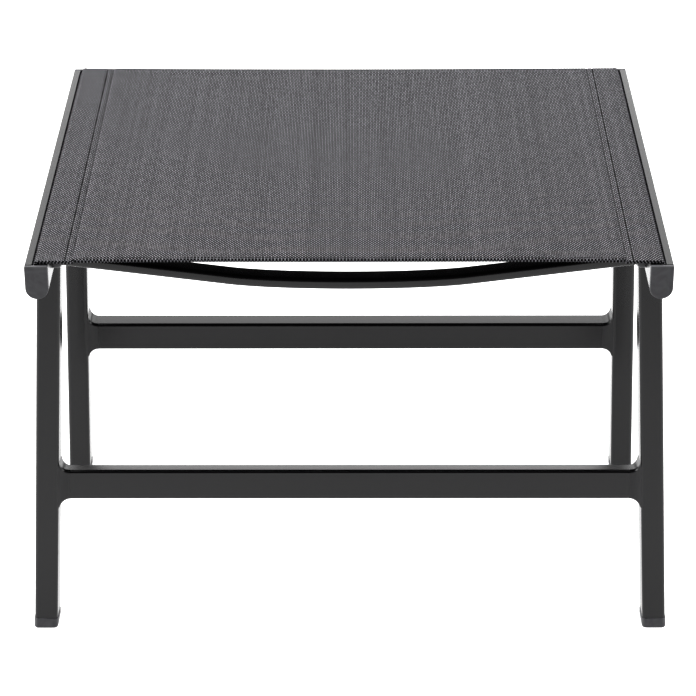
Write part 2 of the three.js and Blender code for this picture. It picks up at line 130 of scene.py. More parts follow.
def soft_box(name, place, target, width, height, brightness):
    """A glowing panel, in metres, that faces target and hides from the camera."""
    lamp = bpy.data.lights.new(name, "AREA")
    lamp.shape = "RECTANGLE"
    lamp.size, lamp.size_y = width, height
    lamp.energy = brightness * math.pi * width * height
    panel = bpy.data.objects.new(name, lamp)
    panel.location = place
    panel.rotation_euler = (Vector(target) - Vector(place)).to_track_quat("-Z", "Y").to_euler()
    panel.visible_camera = False
    bpy.context.scene.collection.objects.link(panel)
    return lamp.energy


seat = (0, 0, 0.4)
powers = [
    soft_box("low_back_soft_box", (0, 3.6, 1.15), seat, 4.6, 0.9, 2.0),
    soft_box("high_back_soft_box", (-0.5, 3.6, 2.5), seat, 4.6, 1.6, 1.45),
    soft_box("top_soft_box", (0, 0.1, 3.2), seat, 3.4, 2.4, 2.1),
    soft_box("left_soft_box", (-3.0, -0.2, 1.05), seat, 2.6, 1.0, 9.0),
    soft_box("right_soft_box", (3.0, -0.2, 1.05), seat, 2.6, 1.0, 6.0),
]

room = bpy.data.worlds.new("white_room")
bpy.context.scene.world = room
room.use_nodes = True
room.node_tree.nodes["Background"].inputs["Color"].default_value = colour("#fdfdff")
room.node_tree.nodes["Background"].inputs["Strength"].default_value = ROOM_GLOW

sheet = bpy.data.meshes.new("light_table")
corners = [(x * TABLE_REACH, y * TABLE_REACH, 0) for x, y in ((-1, -1), (1, -1), (1, 1), (-1, 1))]
sheet.from_pydata(corners, [], [(0, 1, 2, 3)])
floor = bpy.data.objects.new("light_table", sheet)
bpy.context.scene.collection.objects.link(floor)
floor.visible_diffuse = False
bpy.context.scene.view_settings.view_transform = "Standard"
bpy.context.scene.view_settings.look = "High Contrast"
print("soft boxes, in watts:", [round(p) for p in powers])

# %% [markdown]
# ## Materials
# Each finish starts from what the real one is. A new material comes with a default shader, so the
# first function below clears it and leaves an empty tree that ends in the output. Every finish then adds
# its own nodes, mixes its colours with the second and ends in the one shader that the third adds.

# %% Empty material and light table
def empty_material(name):
    """A material with nothing in it but its output."""
    material = bpy.data.materials.new(name)
    material.use_nodes = True
    tree = material.node_tree
    tree.nodes.clear()
    return material, tree, add(tree, "ShaderNodeOutputMaterial")


def blend(tree, factor, first, second, **settings):
    """Mixes two colours, by the node's sockets 0, 6 and 7; a factor of 0 gives the first."""
    mix = add(tree, "ShaderNodeMix", {0: factor, 6: first, 7: second}, data_type="RGBA", **settings)
    return mix.outputs[2]


def finish_material(tree, output, inputs):
    """The shader of a finish, wired to the material's output."""
    shader = add(tree, "ShaderNodeBsdfPrincipled", inputs)
    tree.links.new(shader.outputs["BSDF"], output.inputs["Surface"])


TABLE_GLOW = 0.7
opal_acrylic, tree, output = empty_material("lit_opal_acrylic")
where = add(tree, "ShaderNodeTexCoord")
haze = add(tree, "ShaderNodeTexNoise", {"Vector": where.outputs["Object"], "Scale": repeats(60)})
matt = add(tree, "ShaderNodeMapRange", {"Value": haze.outputs["Fac"], "To Min": 0.85, "To Max": 0.95})
finish_material(tree, output, {
    "Base Color": colour("#f4f4f4"), "Roughness": matt.outputs["Result"],
    "Emission Color": colour("#ffffff"), "Emission Strength": TABLE_GLOW})
sheet.materials.append(opal_acrylic)
print("material:", opal_acrylic.name)

# %% [markdown]
# ### Polyester powder coat
# Charged powder is sprayed on the aluminium and melted in an oven at about 200 degrees. It flows into a
# satin film with faint orange peel, waves some 3 mm apart, and a finer grain from the matting agent.
# The film is plastic, so it isn't metallic and its refractive index is nearly 1.5: dark where one looks
# straight at it, and bright where one looks along it. Castings are coated with the same powder but
# their skin underneath is rougher, so they get a coarser peel and a little less shine.

# %% Powder coats
def powder_coat(name, peel_mm, peel_depth, gloss_low, gloss_high):
    """Graphite powder coat: peel_mm is how far apart the waves in the film are, peel_depth how deep."""
    material, tree, output = empty_material(name)
    where = add(tree, "ShaderNodeTexCoord")
    point = where.outputs["Object"]
    peel = add(tree, "ShaderNodeTexNoise", {"Vector": point, "Scale": repeats(peel_mm), "Detail": 1.0})
    grain = add(tree, "ShaderNodeTexNoise", {"Vector": point, "Scale": repeats(0.5), "Detail": 2.0})
    cloud = add(tree, "ShaderNodeTexNoise", {"Vector": point, "Scale": repeats(70), "Detail": 2.0})
    tone = blend(tree, cloud.outputs["Fac"], colour("#121114"), colour("#181719"))
    gloss = add(tree, "ShaderNodeMapRange", {
        "Value": grain.outputs["Fac"], "To Min": gloss_low, "To Max": gloss_high})
    waves = add(tree, "ShaderNodeBump", {
        "Strength": 0.35, "Distance": peel_depth * MM, "Height": peel.outputs["Fac"]})
    bumps = add(tree, "ShaderNodeBump", {
        "Strength": 0.3, "Distance": 0.02 * MM, "Height": grain.outputs["Fac"],
        "Normal": waves.outputs["Normal"]})
    finish_material(tree, output, {
        "Base Color": tone, "Roughness": gloss.outputs["Result"], "IOR": 1.5,
        "Normal": bumps.outputs["Normal"]})
    return material


coated_aluminium = powder_coat("graphite_powder_coat_on_extrusion", 3.0, 0.03, 0.2, 0.28)
coated_casting = powder_coat("graphite_powder_coat_on_casting", 2.2, 0.06, 0.24, 0.34)
print("materials:", coated_aluminium.name, coated_casting.name)

# %% [markdown]
# ### Moulded plastics
# The rail caps, the plugs of the spreader bars and the glides are injection-moulded polypropylene. The
# steel mould is spark-eroded, which leaves a matt pebbled skin with grains of about half a millimetre,
# and the pigment flows a little unevenly. The rods in the pockets of the cloth are smooth extruded
# polyethylene, waxy and blacker.

# %% Plastics
def moulded_plastic(name, dark, light, grain_mm, roughness):
    """Pigmented plastic: grain_mm is the size of the pebbles that the mould leaves."""
    material, tree, output = empty_material(name)
    where = add(tree, "ShaderNodeTexCoord")
    pebbles = add(tree, "ShaderNodeTexVoronoi", {
        "Vector": where.outputs["Object"], "Scale": repeats(grain_mm)}, feature="SMOOTH_F1")
    flow = add(tree, "ShaderNodeTexNoise", {
        "Vector": where.outputs["Object"], "Scale": repeats(12), "Distortion": 1.5})
    tone = blend(tree, flow.outputs["Fac"], colour(dark), colour(light))
    skin = add(tree, "ShaderNodeBump", {
        "Strength": 0.6, "Distance": 0.08 * MM, "Height": pebbles.outputs["Distance"]})
    finish_material(tree, output, {
        "Base Color": tone, "Roughness": roughness, "IOR": 1.49, "Normal": skin.outputs["Normal"]})
    return material


polypropylene = moulded_plastic("spark_grained_polypropylene", "#545456", "#77777a", 0.5, 0.5)
polyethylene = moulded_plastic("extruded_polyethylene_rod", "#151516", "#1b1b1c", 1.2, 0.38)
print("materials:", polypropylene.name, polyethylene.name)

# %% [markdown]
# ### Zinc-plated steel
# The bolts are cold-headed steel with a thin zinc skin, dulled by the weather. Metal colours its own
# reflection, so the base colour is the metal's, metallic is one and the refractive index stays at its
# default. Fine scuffs from the tumbling drum break up the shine.

# %% Bolt steel
zinc_steel, tree, output = empty_material("zinc_plated_steel")
where = add(tree, "ShaderNodeTexCoord")
scuffs = add(tree, "ShaderNodeTexNoise", {
    "Vector": where.outputs["Object"], "Scale": repeats(0.8), "Detail": 4.0})
tone = blend(tree, scuffs.outputs["Fac"], colour("#75787c"), colour("#8f9296"))
shine = add(tree, "ShaderNodeMapRange", {"Value": scuffs.outputs["Fac"], "To Min": 0.5, "To Max": 0.7})
finish_material(tree, output, {
    "Base Color": tone, "Metallic": 1.0, "Roughness": shine.outputs["Result"]})
print("material:", zinc_steel.name)

# %% [markdown]
# ### Woven sling cloth
# The cloth is a plain weave of polyester yarns in a skin of PVC. Counting the repeats in the photograph
# gives a warp yarn every 1.52 mm across the seat and a weft yarn every 2 mm along it. A picture of
# cloth would blur up close and needs a file, so the weave is calculated: the product of two sines is a
# soft chequer that says which yarn is on top, and each yarn's own sine gives its round back. The
# greater of the two heights is the surface, and where both are low there is a pore, painted near black
# as painted shade for the gap between the yarns. The warp is light grey with some shine, the weft black
# and dull, which gives the pepper and salt look, and every crossing is a little lighter or darker than
# the next. The pattern reads the cloth's UV map, which holds millimetres along and across, so it
# follows every fold.

# %% Sling cloth
WARP_PITCH = 1.525
WEFT_PITCH = 2.0
YARN_ROUND = 0.5     # power of a sine: lower gives a flatter back
WEAVE_DEPTH = 0.8    # how far a yarn rises and dives, as a share of its own height


def woven_cloth(name, warp_dark, warp_light, weft_dark, weft_light, pore_shade):
    """Plain weave of coated yarns, each yarn a little lighter or darker than the next."""
    material, tree, output = empty_material(name)
    flat = add(tree, "ShaderNodeUVMap", uv_map="millimetres")
    split = add(tree, "ShaderNodeSeparateXYZ", {0: flat.outputs["UV"]})

    def calc(operation, *values):
        return add(tree, "ShaderNodeMath", dict(enumerate(values)), operation=operation).outputs[0]

    warp = calc("DIVIDE", split.outputs["X"], WARP_PITCH)
    weft = calc("DIVIDE", split.outputs["Y"], WEFT_PITCH)
    warp_wave = calc("SINE", calc("MULTIPLY", warp, math.pi))
    weft_wave = calc("SINE", calc("MULTIPLY", weft, math.pi))
    chequer = calc("MULTIPLY", warp_wave, weft_wave)
    warp_back = calc("POWER", calc("ABSOLUTE", warp_wave), YARN_ROUND)
    weft_back = calc("POWER", calc("ABSOLUTE", weft_wave), YARN_ROUND)
    crimp = calc("MULTIPLY", chequer, WEAVE_DEPTH)
    warp_height = calc("ADD", warp_back, crimp)
    weft_height = calc("SUBTRACT", weft_back, crimp)
    height = calc("SMOOTH_MAX", warp_height, weft_height, 0.1)
    warp_on_top = add(tree, "ShaderNodeMapRange", {
        "Value": calc("SUBTRACT", warp_height, weft_height), "From Min": 0.1, "From Max": 0.6}).outputs[0]
    warp_index, weft_index = calc("FLOOR", warp), calc("FLOOR", weft)
    warp_chance = add(tree, "ShaderNodeTexWhiteNoise", {"W": warp_index}, noise_dimensions="1D")
    weft_chance = add(tree, "ShaderNodeTexWhiteNoise", {"W": weft_index}, noise_dimensions="1D")
    warp_tone = blend(tree, warp_chance.outputs["Value"], colour(warp_dark), colour(warp_light))
    weft_tone = blend(tree, weft_chance.outputs["Value"], colour(weft_dark), colour(weft_light))
    yarns = blend(tree, warp_on_top, weft_tone, warp_tone)
    clear_of_pore_shade = add(tree, "ShaderNodeMapRange", {
        "Value": height, "From Min": 0.62, "From Max": 0.95}).outputs["Result"]
    crossing = add(tree, "ShaderNodeCombineXYZ", {"X": warp_index, "Y": weft_index})
    chance = add(tree, "ShaderNodeTexWhiteNoise", {"Vector": crossing.outputs[0]}, noise_dimensions="2D")
    speck = add(tree, "ShaderNodeMapRange", {
        "Value": chance.outputs["Value"], "To Min": 0.72, "To Max": 1.28})
    speckled = blend(tree, 1.0, yarns, speck.outputs["Result"], blend_type="MULTIPLY")
    # Painted shade: the pore colour is near black and stands for the shade in the gaps between the yarns.
    cloth = blend(tree, clear_of_pore_shade, colour(pore_shade), speckled)
    skin = add(tree, "ShaderNodeMapRange", {"Value": warp_on_top, "To Min": 0.9, "To Max": 0.6})
    relief = add(tree, "ShaderNodeBump", {"Strength": 0.5, "Distance": 0.25 * MM, "Height": height})
    finish_material(tree, output, {
        "Base Color": cloth, "Roughness": skin.outputs["Result"], "IOR": 1.4,
        "Normal": relief.outputs["Normal"]})
    return material


# The last colour, #030303, is painted shade for the gaps between the yarns.
sling_cloth = woven_cloth("charcoal_sling_weave", "#8b8a8e", "#9d9ca1", "#0c0c0d", "#1a1a1c", "#030303")
print("material:", sling_cloth.name, "with", len(sling_cloth.node_tree.nodes), "nodes")

# %% [markdown]
# ### Sewing thread
# Outdoor cloth is sewn with bonded polyester thread about 0.5 mm thick. It is two or three plies
# twisted together, so fine slanting bands run over it. The thread is black, and it is painted blacker
# still, as painted shade for the holes where the stitches pull into the cloth.

# %% Thread
thread, tree, output = empty_material("bonded_polyester_thread")
where = add(tree, "ShaderNodeTexCoord")
plies = add(tree, "ShaderNodeTexWave", {
    "Vector": where.outputs["Object"], "Scale": repeats(4), "Distortion": 1.0}, bands_direction="DIAGONAL")
# Black thread, painted blacker than real thread as painted shade for the stitch holes.
tone = blend(tree, plies.outputs["Fac"], colour("#08080a"), colour("#141416"))
finish_material(tree, output, {"Base Color": tone, "Roughness": 0.75})
print("material:", thread.name)

# %% [markdown]
# ## Metal and plastic pieces
# Extrusions, castings and mouldings have exact shapes, and the solids already hold them, down to the
# rounded corners of the tubes. Modelling them again would only add errors. What a solid lacks is smooth
# shading: its round stretches are strips of loose triangles. So a copy of each is joined up, flat
# areas become single faces, and its normals are weighted by area, which keeps the flats flat
# while every curve turns evenly. Edges sharper than 32 degrees stay crisp, but a bevel takes the
# knife edge off the rails and caps. The solids keep 0.3 mm apart even where the real pieces are welded
# and ground flush, so the ends of the crossbars and fittings are moved out to close those gaps.

# %% Plain meshes
def evaluated_mesh(piece):
    """A mesh of the piece with all its modifiers worked in."""
    bpy.context.view_layer.update()
    graph = bpy.context.evaluated_depsgraph_get()
    return bpy.data.meshes.new_from_object(piece.evaluated_get(graph), depsgraph=graph)


def settle(piece):
    """Turns a piece with modifiers into a plain mesh."""
    mesh = evaluated_mesh(piece)
    mesh.name = piece.name
    piece.modifiers.clear()
    piece.data = mesh


def new_piece(name, mesh, material):
    """Puts a mesh in the scene as a piece with one material."""
    piece = bpy.data.objects.new(name, mesh)
    bpy.context.scene.collection.objects.link(piece)
    mesh.materials.clear()
    mesh.materials.append(material)
    return piece


print("helpers for plain meshes are ready")

# %% Finish the solids
SHARP = math.radians(32)
FLAT = math.radians(0.3)     # faces that turn less than this are one flat face
ONE_CORNER = 0.002 * MM      # corners closer than this are one corner
ENDWAYS = 0.9                # how squarely an end has to face along X


def finish_solid(node, material, push, rounding):
    """A smoothly shaded copy of a solid, which then stands for it; push moves its ends outwards."""
    shell = bmesh.new()
    shell.from_mesh(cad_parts[node].data)
    bmesh.ops.remove_doubles(shell, verts=shell.verts, dist=ONE_CORNER)
    bmesh.ops.dissolve_limit(shell, angle_limit=FLAT, verts=shell.verts, edges=shell.edges)
    ends = {v: math.copysign(push, v.co.x) for face in shell.faces for v in face.verts
            if face.normal.x * v.co.x > ENDWAYS * abs(v.co.x)}
    for vertex, shift in ends.items():
        vertex.co.x += shift
    for face in shell.faces:
        face.smooth = True
    for edge in shell.edges:
        edge.smooth = edge.is_manifold and edge.calc_face_angle(0) < SHARP
    mesh = bpy.data.meshes.new(node + "_finish")
    shell.to_mesh(mesh)
    shell.free()
    piece = new_piece(node + "_finish", mesh, material)
    if rounding:
        round_off = piece.modifiers.new("round_off", "BEVEL")
        round_off.limit_method = "ANGLE"
        round_off.angle_limit = SHARP
        round_off.width, round_off.segments = rounding, 2
    weigh = piece.modifiers.new("weigh", "WEIGHTED_NORMAL")
    weigh.keep_sharp = True
    settle(piece)
    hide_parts(node)
    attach(piece, "root")


WELDED = 0.45 * MM
WELDED_TO_LEG = 1.4 * MM   # reaches in over the leg's round corner
SOFT_EDGE = 0.3 * MM
FINISHES = [
    ("_rail_cap", polypropylene, "moulded_plastic", 0, SOFT_EDGE),
    ("_spreader_plug", polypropylene, "moulded_plastic", 0, 0),
    ("_foot_glide", polypropylene, "moulded_plastic", 0, 0),
    ("_keder_rod", polyethylene, "rod_plastic", 0, 0),
    ("_bolt", zinc_steel, "bolt_steel", 0, 0),
    ("_crossbar_fitting", coated_casting, "fitting_coat", WELDED_TO_LEG, 0),
    ("_rail", coated_aluminium, "frame_coat", 0, SOFT_EDGE),
    ("_crossbar", coated_aluminium, "frame_coat", WELDED, 0),
    ("_leg", coated_aluminium, "frame_coat", 0, 0),
]
for node in sorted(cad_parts):
    for ending, material, slot, push, rounding in FINISHES:
        if node.endswith(ending):
            finish_solid(node, material, push, rounding)
            break

# %% [markdown]
# ## Spreader bars
# Each bar is a rounded flat tube, bent down under the cloth so that nobody sits on it: two straight arms
# and an even curve between them. That is a section swept along a path, which is just what Geometry
# Nodes' Curve to Mesh does. The path is a line of points, close together in the curve. The section is a
# rectangle with filleted corners, whose sizes are named inputs, so another stool's bar is a matter of
# new numbers.

# %% A tree with named sizes
def node_tree(name, sizes):
    """A Geometry Nodes tree with geometry in and out, a number for each size, and a material."""
    tree = bpy.data.node_groups.new(name, "GeometryNodeTree")
    tree.interface.new_socket("Geometry", in_out="INPUT", socket_type="NodeSocketGeometry")
    for size in sizes:
        tree.interface.new_socket(size, in_out="INPUT", socket_type="NodeSocketFloat")
    tree.interface.new_socket("Material", in_out="INPUT", socket_type="NodeSocketMaterial")
    tree.interface.new_socket("Geometry", in_out="OUTPUT", socket_type="NodeSocketGeometry")
    return tree, add(tree, "NodeGroupInput"), add(tree, "NodeGroupOutput")


def close_tree(tree, sizes_in, result, geometry):
    """Ends a tree: its instances become real, and take the material."""
    real = add(tree, "GeometryNodeRealizeInstances", {"Geometry": geometry})
    coated = add(tree, "GeometryNodeSetMaterial", {
        "Geometry": real.outputs["Geometry"], "Material": sizes_in.outputs["Material"]})
    tree.links.new(coated.outputs["Geometry"], result.inputs["Geometry"])


def grow(piece, tree, material, sizes):
    """Runs a tree on a piece with these sizes and returns the result as a plain mesh."""
    modifier = piece.modifiers.new(tree.name, "NODES")
    modifier.node_group = tree
    for socket in tree.interface.items_tree:
        if socket.name in sizes:
            modifier[socket.identifier] = sizes[socket.name]
        if socket.name == "Material":
            modifier[socket.identifier] = material
    return evaluated_mesh(piece)


def path_object(name, runs):
    """A curve object of straight-sided splines; each run is (points in metres, closed or not)."""
    data = bpy.data.curves.new(name, "CURVE")
    data.dimensions = "3D"
    for points, closed in runs:
        spline = data.splines.new("POLY")
        spline.points.add(len(points) - 1)
        for spline_point, point in zip(spline.points, points):
            spline_point.co = (*point, 1)
        spline.use_cyclic_u = closed
    path = bpy.data.objects.new(name, data)
    bpy.context.scene.collection.objects.link(path)
    return path


print("helpers for Geometry Nodes are ready")

# %% Bars
BAR_HALF, BAR_KNEE, KNEE_HANDLE, BAR_BOW = 261.4, 110.0, 50.0, 24.6
BAR_LEVEL, BAR_FROM_MIDDLE = 404.0, 184.0
BAR_DEPTH, BAR_HEIGHT, BAR_CORNER = 20.0, 11.0, 3.6
BAR_STEP, BOW_STEPS, FILLET_POINTS = 6.0, 32, 7

bar_tree, sizes_in, result = node_tree("bowed_bar", ["Step", "Depth", "Height", "Corner"])
path_points = add(bar_tree, "GeometryNodeResampleCurve", {
    "Curve": sizes_in.outputs["Geometry"], "Length": sizes_in.outputs["Step"]}, mode="LENGTH")
flat_section = add(bar_tree, "GeometryNodeCurvePrimitiveQuadrilateral", {
    "Width": sizes_in.outputs["Depth"], "Height": sizes_in.outputs["Height"]})
round_section = add(bar_tree, "GeometryNodeFilletCurve", {
    "Curve": flat_section.outputs["Curve"], "Count": FILLET_POINTS,
    "Radius": sizes_in.outputs["Corner"]}, mode="POLY")
swept = add(bar_tree, "GeometryNodeCurveToMesh", {
    "Curve": path_points.outputs["Curve"], "Profile Curve": round_section.outputs["Curve"],
    "Fill Caps": True})
close_tree(bar_tree, sizes_in, result, swept.outputs["Mesh"])


def bar_path(y):
    """Arms that fall evenly to the knees, and a cubic curve between them."""
    knee_drop = 0.75 * KNEE_HANDLE   # a cubic's middle is three quarters of the way to its handles
    slope = BAR_BOW / (BAR_HALF - BAR_KNEE + knee_drop)
    knee_level = BAR_LEVEL - slope * (BAR_HALF - BAR_KNEE)
    handle = BAR_KNEE - KNEE_HANDLE
    points = [(-BAR_HALF, BAR_LEVEL)]
    for i in range(BOW_STEPS + 1):
        t = i / BOW_STEPS
        x = BAR_KNEE * (t**3 - (1 - t) ** 3) + 3 * handle * t * (1 - t) * (2 * t - 1)
        points.append((x, knee_level - 3 * t * (1 - t) * slope * KNEE_HANDLE))
    points.append((BAR_HALF, BAR_LEVEL))
    return [Vector((x, y, z)) * MM for x, z in points]


for end, y in (("front", -BAR_FROM_MIDDLE), ("rear", BAR_FROM_MIDDLE)):
    path = path_object(end + "_bar_path", [(bar_path(y), False)])
    mesh = grow(path, bar_tree, coated_aluminium, {
        "Step": BAR_STEP * MM, "Depth": BAR_DEPTH * MM, "Height": BAR_HEIGHT * MM,
        "Corner": BAR_CORNER * MM})
    bpy.data.objects.remove(path)
    bar = new_piece(end + "_spreader_bar_finish", mesh, coated_aluminium)
    mesh.shade_smooth()
    mesh.set_sharp_from_angle(angle=SHARP)
    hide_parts(end + "_spreader_bar")
    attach(bar, "root")
    print(bar.name, "faces:", len(mesh.polygons), "lowest:", round(min(v.co.z for v in mesh.vertices), 4))

# %% [markdown]
# ## The sling
# One cloth is cut, hemmed in front and behind, and folded back at both sides round a plastic rod. The
# rods slide into the channels of the rails, which pull it drum tight. A cloth simulation would need
# minutes to find a shape that is known already, so the mesh is laid out by rule: a path runs from one
# side to the other through every fold, each point of it is carried from front to rear, and small
# effects are added on top: a sag of 1 mm, grooves where the seams bite, puckers beside them and slow
# waves in the tension.

# %% Sling sizes
RAIL_MIDDLE, RAIL_TOP, RAIL_HALF = 279.5, 420.0, 10.5
CLOTH, SHEET, CLEAR = 1.2, 1.1, 0.3    # layers lie 1.2 mm apart and are 1.1 mm thick
ROD_RADIUS, CHANNEL_DROP, CHANNEL_MIDDLE, SLOT_HALF = 2.6, 6.2, 280.9, 2.3
FLAP, HEM_WIDTH, HEM_LAYERS = 33.0, 14.0, 3
SHOULDER = 1.5    # how much longer than high the cloth's bend into the slot is
SLING_FRONT, SLING_REAR = -233.6, 235.5
FRONT_SETBACK, FRONT_HOLLOW, MITRE = 2.3, 3.4, 4.5
REAR_TUCK = 1.4    # rear edge of a pocket to the rear of the hem
SAG = 1.0
SEAMS = (RAIL_MIDDLE - 25.5, RAIL_MIDDLE - 31.2)
SEAM_BITES = (0.5, 0.6)   # how deep the outer and the inner one pull the cloth in
SEAM_WIDTH = 0.9
HEM_SEAM = 3.6
TOP = RAIL_TOP + CLEAR + 2 * CLOTH
HEM_HALF = RAIL_MIDDLE - FLAP
HEM_RADIUS = HEM_LAYERS * CLOTH / 2
HOLLOW_HALF = HEM_HALF + 1.5    # the front hem is drawn in as far as this
RAW_EDGE = 1.5     # the cloth's raw edge to the middle of the hem's round


def sag(x):
    """How far the cloth dips between the rails."""
    return -SAG * (1 - min(abs(x) / (RAIL_MIDDLE - RAIL_HALF), 1) ** 2)


def front_fold(x):
    """Foremost point of the front hem, which is drawn in between the corners."""
    share = min(abs(x) / HOLLOW_HALF, 1) ** 4
    return SLING_FRONT + FRONT_SETBACK + FRONT_HOLLOW * (1 - share)


def into_pocket(x):
    """Share of the way over the mitre, from the hem's end to the pocket."""
    return min(max((abs(x) - HEM_HALF) / MITRE, 0), 1)


def front_of(x):
    """Where the flat of the cloth ends in front: at the fold, or past the mitre at the corner."""
    share = into_pocket(x)
    return (front_fold(x) + HEM_RADIUS) * (1 - share) + SLING_FRONT * share


def rear_of(x):
    """The same behind, where the pockets stop a little short, level with the round of the hem."""
    share = into_pocket(x)
    return SLING_REAR - HEM_RADIUS * (1 - share) - REAR_TUCK * share


print("cloth top at", TOP, "mm, hems", 2 * HEM_RADIUS, "mm thick")

# %% [markdown]
# The path across is half of a symmetrical line: along the top, over a soft shoulder and down through
# the slot, round the rod, up again against the slot's inner lip and back under the top layer. Points lie
# close together where the cloth bends or is sewn and far apart where it is flat.

# %% Path across
WIDE_STEP, WIDE_STEPS = 8.0, 30
FINE_STEP, FINE_STEPS = 0.75, 53
FLAP_STEPS = 18


def turn(cx, cz, radius, start, stop, steps):
    """Points on an arc, angles in degrees."""
    angles = [math.radians(start + (stop - start) * i / steps) for i in range(steps + 1)]
    return [(cx + radius * math.cos(a), cz + radius * math.sin(a)) for a in angles]


def half_path():
    """Points (layer, x, z) from the middle of the seat to the free end of the right pocket."""
    top_level, under_level = TOP - CLOTH / 2, TOP - 1.5 * CLOTH
    strand, pocket = CLOTH / 2, ROD_RADIUS + CLEAR + CLOTH / 2
    slot_edge = CHANNEL_MIDDLE - SLOT_HALF
    between = slot_edge + CLEAR + CLOTH
    outer_lean = math.degrees(math.acos((between + strand - CHANNEL_MIDDLE) / pocket))
    inner_lean = math.degrees(math.acos((CHANNEL_MIDDLE - between + strand) / pocket))
    flat = [WIDE_STEP * i for i in range(WIDE_STEPS)]
    flat += [WIDE_STEP * WIDE_STEPS + FINE_STEP * i for i in range(FINE_STEPS)]
    points = [("top", x, top_level) for x in flat if x < slot_edge - SHOULDER - FINE_STEP / 2]
    rise = top_level - RAIL_TOP
    bends = [(slot_edge - SHOULDER + (rise + SHOULDER) * math.sin(a), RAIL_TOP + rise * math.cos(a))
             for a in (math.radians(10 * i) for i in range(10))]
    bends += turn(CHANNEL_MIDDLE, RAIL_TOP - CHANNEL_DROP, pocket, outer_lean, -180 - inner_lean, 22)
    bends += turn(slot_edge, RAIL_TOP, strand + CLEAR, 0, 90, 5)
    points += [("fold", x, z) for x, z in bends]
    points += [("under", slot_edge - (slot_edge - HEM_HALF) * i / FLAP_STEPS, under_level)
               for i in range(1, FLAP_STEPS + 1)]
    return points


def lengths_along(points):
    """How far each point is from the first one, along the line."""
    return [0.0] + list(accumulate(math.dist(p, q) for p, q in zip(points, points[1:])))


half = half_path()
across = [(layer, -x, z) for layer, x, z in reversed(half[1:])] + half
run = lengths_along([(x, z) for _, x, z in across])
flat_width = run[-1]
run = [r - flat_width / 2 for r in run]
print("cloth across, every fold counted:", round(flat_width, 1), "mm in", len(across), "points")

# %% [markdown]
# From front to rear the rows are 0.8 mm apart at the edges and 5 mm in the middle. In front of the flat
# and behind it, the columns between the pockets go on round the hem: a half turn, back underneath, a
# small half turn, and the raw edge forward again between the two, so three layers lie on each other.

# %% Rows and hem
EDGE_STEP, EDGE_STEPS, MIDDLE_STEPS = 0.8, 20, 87
HEM_STEPS = (10, 8, 5, 6)    # round the half turn, underneath, round the small turn, and forward again


def rows():
    """Pairs (share, offset): share 0 is the front edge of a column, 1 its rear edge."""
    edge = [EDGE_STEP * i for i in range(EDGE_STEPS + 1)]
    inner = [(i / MIDDLE_STEPS, edge[-1] * (1 - 2 * i / MIDDLE_STEPS)) for i in range(1, MIDDLE_STEPS)]
    return [(0, d) for d in edge] + inner + [(1, -d) for d in reversed(edge)]


def hem_run():
    """Mid-surface of a hem beyond the flat: how far outside the fold's centre, and how far below TOP."""
    outer, inner = HEM_RADIUS - CLOTH / 2, CLOTH / 2
    bottom = 2 * HEM_RADIUS - CLOTH / 2
    back = HEM_WIDTH - HEM_RADIUS - inner
    turned, beneath, folded, forward = (
        [i / steps for i in range(1, steps + 1)] for steps in HEM_STEPS)
    points = [(outer * math.sin(math.pi * s), HEM_RADIUS - outer * math.cos(math.pi * s)) for s in turned]
    points += [(-back * s, bottom) for s in beneath]
    points += [(-back - inner * math.sin(math.pi * s), bottom - inner + inner * math.cos(math.pi * s))
               for s in folded]
    points += [(-back + (back - RAW_EDGE) * s, bottom - CLOTH) for s in forward]
    return points


def groove(distance, width):
    """How strongly a seam bites at this distance from it, from 1 down to 0."""
    return math.exp(-((distance / width) ** 2))


# Height, distance from the hem's fold, and width of the seam's groove, the round edge and the hem's end
HEM_FORMS = ((-0.35, HEM_SEAM, 0.8), (0.15, 2 * HEM_RADIUS, 1.4), (0.3, HEM_WIDTH - 2, 4.0))
WAVE_HEIGHT, WAVE_SIZE = 0.45, (95, 80)         # waves in the tension; sizes across and along the seat
PUCKER_HEIGHT, PUCKER_SIZE = 0.16, (30, 9)
PUCKER_INSET, PUCKER_REACH = 6, 7.0             # inner seam to the middle of its puckers, and their width


def unevenness(x, y, size, layer):
    """Smooth noise between -1 and 1 with bumps of this size; another layer is another pattern."""
    return noise.noise(Vector((x / size[0], y / size[1], layer)))


def relief(x, y, layer):
    """Small rises and dips of the cloth, in mm: seam grooves, hem ridges, waves and puckers."""
    lift = 0.0
    if layer != "fold":
        lift -= sum(bite * groove(abs(x) - seam, SEAM_WIDTH) for seam, bite in zip(SEAMS, SEAM_BITES))
    if layer == "top" and abs(x) < HEM_HALF:
        for gap in (y - front_fold(x), SLING_REAR - y):
            lift += sum(height * groove(gap - place, width) for height, place, width in HEM_FORMS)
    free = max(0.0, 1 - (abs(x) / HEM_HALF) ** 6)
    lift += WAVE_HEIGHT * free * unevenness(x, y, WAVE_SIZE, 4.2)
    if layer == "top":
        beside = groove(abs(x) - SEAMS[1] + PUCKER_INSET, PUCKER_REACH)
        lift += PUCKER_HEIGHT * beside * unevenness(x, y, PUCKER_SIZE, 1.7)
    return lift


stations = rows()
hem_points = hem_run()
hem_lengths = lengths_along([(0.0, CLOTH / 2)] + hem_points)[1:]
print("rows:", len(stations), "and", len(hem_points), "more round each hem, which takes",
      round(hem_lengths[-1], 1), "mm of cloth")

